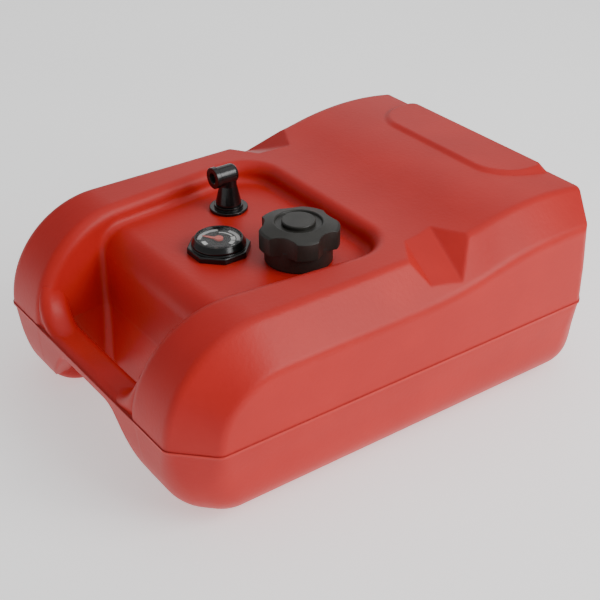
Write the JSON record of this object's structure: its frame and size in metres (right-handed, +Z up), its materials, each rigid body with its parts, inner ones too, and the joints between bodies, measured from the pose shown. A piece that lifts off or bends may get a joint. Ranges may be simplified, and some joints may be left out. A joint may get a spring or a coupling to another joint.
{
  "type": "portable outboard fuel tank",
  "caption": "Low moulded fuel tank with a recessed deck for its vented screw cap, float gauge and swivelling hose elbow, and a carrying bar across the front.",
  "frame": {"origin": "middle of the base, on the surface it stands on", "axes": "+Z up, -Y towards the carrying bar, +X to the side of the screw cap"},
  "size_m": [0.3816, 0.5136, 0.2223],
  "materials": {
    "shell_red": "satin moulded polyethylene",
    "cap_black": "matt moulded",
    "fitting_black": "semi-gloss moulded",
    "seal_rubber": "matt",
    "slip_white": "smooth",
    "spring_steel": "bright wire",
    "lens_clear": "clear moulded plastic",
    "dial_face": "printed",
    "pointer_red": "glossy",
    "frame_grey": "moulded",
    "strip_metal": "bright strip",
    "float_foam": "closed foam",
    "tube_natural": "natural tube"
  },
  "bodies": {
    "tank": {"tank_shell": "shell_red", "gauge_housing": "fitting_black", "gauge_gasket": "seal_rubber", "gauge_bezel": "fitting_black", "gauge_lens": "lens_clear", "gauge_dial": "dial_face", "gauge_frame": "frame_grey", "pickup_bushing": "fitting_black", "pickup_gasket": "seal_rubber", "dip_tube": "tube_natural", "pickup_filter": "tube_natural"},
    "cap_seal": {"cap_gasket": "seal_rubber"},
    "cap_slip": {"cap_slip_washer": "slip_white"},
    "cap": {"fuel_cap": "cap_black", "vent_cover": "cap_black", "vent_seat": "slip_white", "vent_spring": "spring_steel"},
    "vent": {"vent_poppet": "fitting_black"},
    "float": {"gauge_float": "float_foam", "float_plate": "frame_grey"},
    "pointer": {"gauge_pointer": "pointer_red", "gauge_strip": "strip_metal"},
    "elbow": {"pickup_elbow": "fitting_black", "elbow_seal": "seal_rubber"}
  },
  "joints": [
    {"name": "cap_lift_off", "type": "slide", "parent": "tank", "child": "cap_seal", "axis": [0, 0, 1], "range_m": [0, 0.07]},
    {"name": "cap_rise", "type": "slide", "parent": "cap_seal", "child": "cap_slip", "axis": [0, 0, 1], "range_m": [0, 0.0101]},
    {"name": "cap_turn", "type": "hinge", "parent": "cap_slip", "child": "cap", "pos_m": [0.0605, -0.0455, 0.1968], "axis": [0, 0, 1], "range_deg": [0, 900]},
    {"name": "vent_lift", "type": "slide", "parent": "cap", "child": "vent", "axis": [0, 0, 1], "range_m": [0, 0.002], "stiffness_N_per_m": 60, "springref_m": -0.002, "deforming": ["vent_spring"]},
    {"name": "float_rise", "type": "slide", "parent": "tank", "child": "float", "axis": [0, 0, 1], "range_m": [-0.024, 0.072]},
    {"name": "pointer_turn", "type": "hinge", "parent": "tank", "child": "pointer", "pos_m": [0.0029, -0.0998, 0.172], "axis": [0, 0, 1], "range_deg": [-180.5, 60.5]},
    {"name": "elbow_swivel", "type": "hinge", "parent": "tank", "child": "elbow", "pos_m": [-0.0655, -0.044, 0.1786], "axis": [0, 0, 1], "continuous": true}
  ],
  "couplings": [
    {"joint": "cap_rise", "follows": "cap_turn", "m_per_rad": 0.00063662},
    {"joint": "pointer_turn", "follows": "float_rise", "rad_per_m": -43.633}
  ]
}
